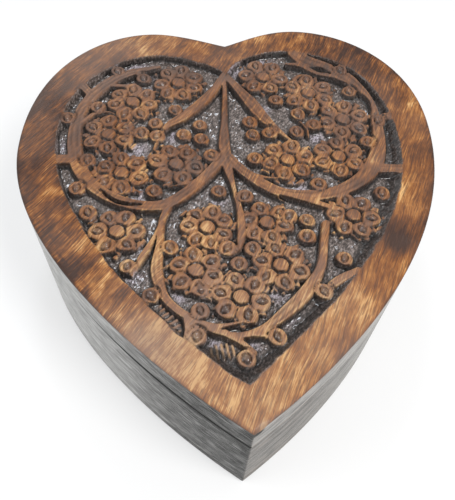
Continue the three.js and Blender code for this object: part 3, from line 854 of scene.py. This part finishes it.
def carveGround():
    # a rough floor left by a small gouge: shallow pits set close together, and rows of marks in places
    floor = 0.25 * unevenness(5, 11) + 0.14 * unevenness(1.5, 12)
    count = 9000
    for x, y in np.c_[randomness.uniform(-56, 56, count), randomness.uniform(-61, 63, count)]:
        spot, dx, dy = around(x, y, 0.9)
        if dx.size and dy.size:
            floor[spot] -= 0.5 * gouge(dx, dy, randomness.uniform(0.6, 1.5), (0.8, 0.45, 0.3))
    marks = np.zeros(gridShape)
    for x, y, turn, halfLength, halfWidth, gap in ladders:
        spot, dx, dy = around(x + levels["shift"], y, 8)
        turn = radians(turn)
        along, over = dx * cos(turn) + dy * sin(turn), dy * cos(turn) - dx * sin(turn)
        within = ease(3 - 3 * np.hypot(along / halfLength, over / halfWidth))
        marks[spot] = np.maximum(marks[spot], within * ease(0.5 + 0.5 * np.cos(2 * pi * along / gap)))
    return floor + marks, marks


def paintedSheenMap():
    paintedShine = np.zeros(gridShape)
    for x, y, reach in paintedSheens:
        paintedShine += np.exp(-((gridX[None] - x) ** 2 + (gridY[:, None] - y) ** 2) / reach ** 2)
    return paintedShine


def patchMaps():
    lighter, greyer = np.zeros(gridShape), np.zeros(gridShape)
    for x, y, reach, light, grey in patches:
        share = np.exp(-((gridX[None] - x) ** 2 + (gridY[:, None] - y) ** 2) / reach ** 2)
        lighter += light * share
        greyer += grey * share
    return lighter, greyer


def carveTop():
    fieldDepth = depthInside(heartRing(fieldOutline, 0.5), 9)
    fieldDepth = fieldDepth + 0.3 * unevenness(3.5, 33) + 0.15 * unevenness(1.3, 34)
    rimDepth = depthInside(heartRing(boxOutline, 0.5), 3)
    heights, beads, scraps = np.zeros(gridShape), np.zeros(gridShape), scrapMap()
    lines = carveStems(heights)
    carveSlits(heights)
    for flower in flowers:
        carveFlower(heights, beads, scraps, flower)
    for berry in berries:
        carveBerry(heights, beads, *berry)
    floor, marks = carveGround()
    onVine = ease(heights / 0.9)
    depth = carving["depth"]
    surface = np.maximum(heights, 0) + floor * (1 - onVine)
    surface = surface - 0.07 * np.abs(unevenness(0.8, 21)) * onVine - depth
    # the chiselled wall of the field leans most towards the lower right
    lean = ease((gridX[None] * 0.7 - gridY[:, None] * 0.55 - 2) / 30)
    wallWidth = 0.75 + 2.1 * lean + 0.3 * unevenness(4, 31)
    wall = -depth * np.clip(fieldDepth / wallWidth, 0, 1) ** 0.9
    wall = wall + (0.2 * unevenness(1.1, 32) + 0.2 * unevenness(0.6, 35)) * ease(-wall)
    surface = np.maximum(surface, wall)
    rim = 1 - ease(fieldDepth / 0.25 + 0.5)
    surface = np.where(fieldDepth > 0, np.minimum(surface, -0.03), 0)
    for x, y, turn, *cut in nicks:
        spot, dx, dy = around(x + levels["shift"], y, 4)
        surface[spot] -= gouge(dx, dy, radians(turn), cut)
    surface = softened(surface, (1, 4, 1))
    surface -= (0.06 + 0.05 * unevenness(9, 41)) * rim * ease((rimDepth - 0.8) / 2)
    wide, near = softened(surface, np.hanning(13)[1:-1]), softened(surface, (1, 2, 1))
    inField = ease(fieldDepth / 0.3 + 0.3)
    stain = ease((1.35 - heights) / 0.6) * inField * (1 - 0.95 * marks * (1 - onVine))
    # creases and hollows are painted dark: dark varnish gathered there, and painted shade
    creviceDirtAndShade = np.clip((wide - surface - 0.2) / 0.5, 0, 1)
    creviceDirtAndShade += np.clip((near - surface - 0.06) / 0.22, 0, 1)
    # the wall that faces away from the window is painted black as painted shade
    creviceDirtAndShade += 0.8 * ease((lean - 0.35) / 0.4) * ease((wallWidth + 1.9 - fieldDepth) / 1.2) * (1 - onVine)
    # slopes that look towards the lower left are painted dark as painted shadow
    riseY, riseX = np.gradient(surface, step)
    creviceDirtAndShade += 1.25 * np.clip((riseX * 0.5 + riseY * 0.85 - 0.55) / 1.1, 0, 1)
    creviceDirtAndShade += 0.5 * lines * ease((heights - 1.6) / 0.4)
    upper = ease(gridY[:, None] / 20 + 0.5)
    beads *= 1 - 0.5 * upper
    lighter, greyer = patchMaps()
    tone = lighter * (1 - 0.6 * inField) - 0.04 * inField
    tone += 0.7 * unevenness(13, 51) + 0.5 * unevenness(5, 52)
    lowerRight = ease((gridX[None] - gridY[:, None] * 0.6 - 28) / 20)
    rimMottle = (1 - inField) * (1 - 0.6 * lowerRight) * (1 - 0.35 * ease(gridX[None] / 30))
    tone += (0.6 * unevenness(2.4, 54) + 0.4 * unevenness(4.5, 56)) * rimMottle
    tone -= 1.2 * ease(1 - rimDepth / 0.7)
    # the carving's edges are rubbed bright
    worn = np.clip((surface - near - 0.01) / 0.09, 0, 1) * ease(unevenness(3.2, 55) * 1.6 + 0.35)
    rubbed = 1.3 * worn * onVine * (1 - 0.45 * upper) + 0.9 * marks * (1 - onVine)
    tone += (rubbed + 0.45 * ease((5 - gridY[:, None]) / 30)) * inField
    greyingAndHaze = np.clip(greyer + 0.12 * unevenness(9, 53) + 0.22 * inField, 0, 0.75)
    calm = 0.3 * inField + (0.15 + 0.3 * lowerRight) * (1 - inField)
    # painted reflection: the listed ground patches, kept out of the creases
    paintedSheen = np.clip(paintedSheenMap() * (1 - np.clip(creviceDirtAndShade, 0, 1)), 0, 1) * inField
    maps = {"stain": stain, "cavityDirtAndShade": np.clip(creviceDirtAndShade, 0, 1) * inField, "tone": tone, "greyingAndHaze": greyingAndHaze,
            "paintedSheen": paintedSheen, "calm": calm, "bead": beads * inField}
    return surface, rimDepth, maps


def lookUp(values, x, y):
    # a map's value between its grid points
    i = np.clip((x - gridX[0]) / step, 0, len(gridX) - 1.001)
    j = np.clip((y - gridY[0]) / step, 0, len(gridY) - 1.001)
    i0, j0 = i.astype(int), j.astype(int)
    u, v = i - i0, j - j0
    return ((values[j0, i0] * (1 - u) + values[j0, i0 + 1] * u) * (1 - v)
            + (values[j0 + 1, i0] * (1 - u) + values[j0 + 1, i0 + 1] * u) * v)


def readPlaces(mesh):
    places = np.empty(len(mesh.vertices) * 3, np.float32)
    mesh.vertices.foreach_get("co", places)
    return places.reshape(-1, 3) / mm


def makeCarvedTop(surface, rimDepth):
    # a fine grid lowered to the carved heights, cut off just inside the lid's edge and thinned where flat
    bpy.ops.object.select_all(action="DESELECT")
    rows, columns = gridShape
    bpy.ops.mesh.primitive_grid_add(x_subdivisions=columns - 1, y_subdivisions=rows - 1, size=2 * mm)
    top = bpy.context.object
    top.name = "carvedTop"
    places = readPlaces(top.data)
    i = np.rint((places[:, 0] + 1) / 2 * (columns - 1)).astype(int)
    j = np.rint((places[:, 1] + 1) / 2 * (rows - 1)).astype(int)
    places = np.stack([gridX[i], gridY[j], levels["lidTop"] + surface[j, i]], 1)
    top.data.vertices.foreach_set("co", (places * mm).ravel())
    bpy.ops.object.mode_set(mode="EDIT")
    bpy.ops.mesh.select_mode(type="VERT")
    bpy.ops.mesh.select_all(action="DESELECT")
    bpy.ops.object.mode_set(mode="OBJECT")
    top.data.vertices.foreach_set("select", rimDepth[j, i] < lidShape["join"])
    bpy.ops.object.mode_set(mode="EDIT")
    bpy.ops.mesh.delete(type="VERT")
    bpy.ops.object.mode_set(mode="OBJECT")
    thin = top.modifiers.new("thinned", "DECIMATE")
    thin.ratio = carving["keep"]
    bpy.ops.object.modifier_apply(modifier=thin.name)
    # thinning may lift a point a hair above the lid's top
    places = readPlaces(top.data)
    places[:, 2] = np.minimum(places[:, 2], levels["lidTop"])
    top.data.vertices.foreach_set("co", (places * mm).ravel())
    return top


lidShape = {
    "ringGap": 0.8, "topRound": 0.4, "seamRound": 0.25,
    "tongueDown": 2.5, "tongueGap": 0.7,
    "join": 0.9,  # where the carved top ends, measured in from the lid's edge
}
# corners broken off the lid's edge: a place on the new face, the way that it looks, how far it reaches
chips = [((2.4, -71.2, 49.6), (0.42, -0.66, 0.62), 2.4)]


def breakCorners(mesh):
    places = readPlaces(mesh)
    for centre, way, reach in chips:
        way = np.array(way) / np.linalg.norm(way)
        proud = (places - centre) @ way
        share = ease((reach - np.hypot(*(places[:, :2] - centre[:2]).T)) / 1.2)
        share *= places[:, 2] > levels["lidTop"] - 3
        places[:, 2] -= share * np.maximum(proud, 0) / way[2]
    mesh.vertices.foreach_set("co", (places * mm).ravel())


def makeLid(sizes):
    surface, rimDepth, maps = carveTop()
    print("carving worked out")
    top = makeCarvedTop(surface, rimDepth)
    low, high = levels["lidBottom"], levels["lidTop"]
    tongueEnd, soft = levels["boxTop"] - sizes["tongueDown"], sizes["seamRound"]
    piece = emptyPiece("carvedLid")
    drawSide(heartRing(boxOutline, sizes["ringGap"]), wornProfile(low, high, soft, sizes["topRound"]))
    drawSide(innerRing(boxOutline, sizes["ringGap"], boxShape["wall"] + sizes["tongueGap"]),
             [(soft, tongueEnd), (0, tongueEnd + soft), (0, low)])
    closeFlat(tongueEnd)
    closeFlat(low)
    bpy.ops.object.mode_set(mode="OBJECT")
    onlyThis(piece)
    top.select_set(True)
    bpy.ops.object.join()
    # a narrow strip joins the carved top to the lid's edge
    bpy.ops.object.mode_set(mode="EDIT")
    bpy.ops.mesh.select_mode(type="EDGE")
    bpy.ops.mesh.select_all(action="DESELECT")
    bpy.ops.mesh.select_non_manifold(extend=False, use_wire=False, use_boundary=True, use_multi_face=False,
                                     use_non_contiguous=False, use_verts=False)
    bpy.ops.mesh.fill(use_beauty=True)
    leaveEditing(piece, 60)
    breakCorners(piece.data)
    paintLid(piece.data, maps)
    return piece


def paintLid(mesh, maps):
    places = readPlaces(mesh)
    onTop = places[:, 2] > levels["lidTop"] - carving["depth"] - 1
    for name, values in maps.items():
        layer = mesh.attributes.new(name, "FLOAT", "POINT")
        painted = np.where(onTop, lookUp(values, places[:, 0], places[:, 1]), 0)
        layer.data.foreach_set("value", painted.astype(np.float32))
    mesh.materials.append(topWood)
    mesh.materials.append(sideWood)
    # the varnished wood ends where the lid's side begins
    centres = np.empty(len(mesh.polygons) * 3, np.float32)
    mesh.polygons.foreach_get("center", centres)
    above = centres[2::3] / mm > levels["lidTop"] - carving["depth"] - 1
    mesh.polygons.foreach_set("material_index", np.where(above, 0, 1).astype(np.int32))
    print("lid:", len(mesh.polygons), "faces")


carvedLid = makeLid(lidShape)

for piece, node, slot in ((carvedLid, "carved_lid", "lid_wood"), (boxWall, "box_wall", "wall_wood"),
                          (baseBoard, "base_board", "board_wood")):
    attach(piece, "root")
    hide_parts(node)

print("stage: floor")

floorFinish = {"size": 3.0, "colour": (0.4, 0.4, 0.4), "roughness": 0.8, "glow": 0.47}


def makeFloor(finish):
    bpy.ops.object.select_all(action="DESELECT")
    bpy.ops.mesh.primitive_plane_add(size=finish["size"])
    floor = bpy.context.object
    floor.name = "paleFloor"
    material, _, shader = newMaterial("palePaper")
    shader.inputs["Base Color"].default_value = rgba(*finish["colour"])
    shader.inputs["Roughness"].default_value = finish["roughness"]
    shader.inputs["Emission Color"].default_value = rgba(1, 1, 1)
    shader.inputs["Emission Strength"].default_value = finish["glow"]
    floor.data.materials.append(material)


makeFloor(floorFinish)
